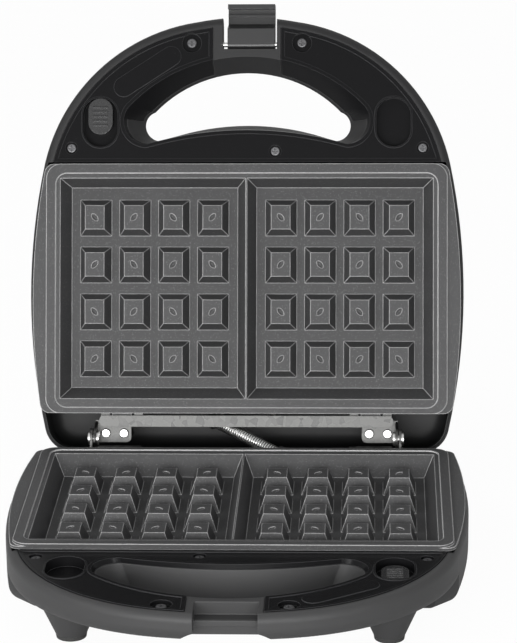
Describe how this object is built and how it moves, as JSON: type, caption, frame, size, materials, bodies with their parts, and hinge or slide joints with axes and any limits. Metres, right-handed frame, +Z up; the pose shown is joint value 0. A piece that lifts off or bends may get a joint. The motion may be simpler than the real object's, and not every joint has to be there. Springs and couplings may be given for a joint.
{
  "type": "multi snack maker",
  "caption": "Clam-shell snack maker shown open, with studded twin-pocket plates, arched carrying handles and a flip-over latch.",
  "frame": {"origin": "centre of the footprint of the whole open object, on the surface that the feet stand on", "axes": "+Z up; -Y towards the front handle and the person using it; +X to that person's right"},
  "size_m": [0.269, 0.3675, 0.2948],
  "materials": {
    "shell": "satin moulded plastic",
    "trim": "gloss black",
    "plate": "non-stick coated, speckled",
    "zinc": "galvanised sheet",
    "steel": "bright steel",
    "heater": "dull tube",
    "black_plastic": "matt black",
    "slider": "satin black",
    "rubber": "matt",
    "ceramic": "pale",
    "lens_red": "clear red",
    "lens_green": "clear green"
  },
  "bodies": {
    "base": {"base_shell": "shell", "base_handle_trim": "trim", "base_release_spring": "steel", "base_heat_tray": "zinc", "base_heater": "heater", "base_heater_saddles": "ceramic", "base_thermostat": "ceramic", "base_trim_screws": "steel", "base_tray_screws": "steel", "base_bracket_screws": "steel", "base_hinge_bracket_left": "zinc", "base_hinge_bracket_right": "zinc", "base_conduit_clip": "black_plastic", "hinge_pin_left": "steel", "hinge_pin_right": "steel", "base_thermal_fuse": "ceramic", "foot_pads": "rubber", "cord_gland": "black_plastic", "terminal_block": "ceramic", "wire_conduit": "steel"},
    "lid": {"lid_shell": "shell", "lid_handle_trim": "trim", "lid_release_spring": "steel", "lid_heat_tray": "zinc", "lid_heater": "heater", "lid_heater_saddles": "ceramic", "lid_thermostat": "ceramic", "lid_trim_screws": "steel", "lid_tray_screws": "steel", "lid_bracket_screws": "steel", "lid_hinge_bracket_left": "zinc", "lid_hinge_bracket_right": "zinc", "lid_conduit_clip": "black_plastic", "latch_pin": "steel", "indicator_lens_left": "lens_red", "indicator_lens_right": "lens_green"},
    "base_plate": {"base_plate": "plate"},
    "lid_plate": {"lid_plate": "plate"},
    "base_release": {"base_release_slider": "slider"},
    "lid_release": {"lid_release_slider": "slider"},
    "latch": {"latch": "black_plastic"}
  },
  "joints": [
    {"name": "lid_hinge", "type": "hinge", "parent": "base", "child": "lid", "pos_m": [0, 0.0774, 0.0424], "axis": [1, 0, 0], "range_deg": [0, 108.7], "deforming": ["wire_conduit"]},
    {"name": "latch_flip", "type": "hinge", "parent": "lid", "child": "latch", "pos_m": [0, 0.16305, 0.27143], "axis": [1, 0, 0], "range_deg": [0, 90]},
    {"name": "base_release_slide", "type": "slide", "parent": "base", "child": "base_release", "axis": [0, 1, 0], "range_m": [0, 0.005], "stiffness_N_per_m": 300, "deforming": ["base_release_spring"]},
    {"name": "lid_release_slide", "type": "slide", "parent": "lid", "child": "lid_release", "axis": [0, -0.3206, -0.9472], "range_m": [0, 0.005], "stiffness_N_per_m": 300, "deforming": ["lid_release_spring"]},
    {"name": "base_plate_tilt", "type": "hinge", "parent": "base", "child": "base_plate", "pos_m": [0, 0.0649, 0.0383], "axis": [1, 0, 0], "range_deg": [-15, 0]},
    {"name": "lid_plate_tilt", "type": "hinge", "parent": "lid", "child": "lid_plate", "pos_m": [0, 0.08529, 0.05293], "axis": [-1, 0, 0], "range_deg": [-15, 0]}
  ]
}
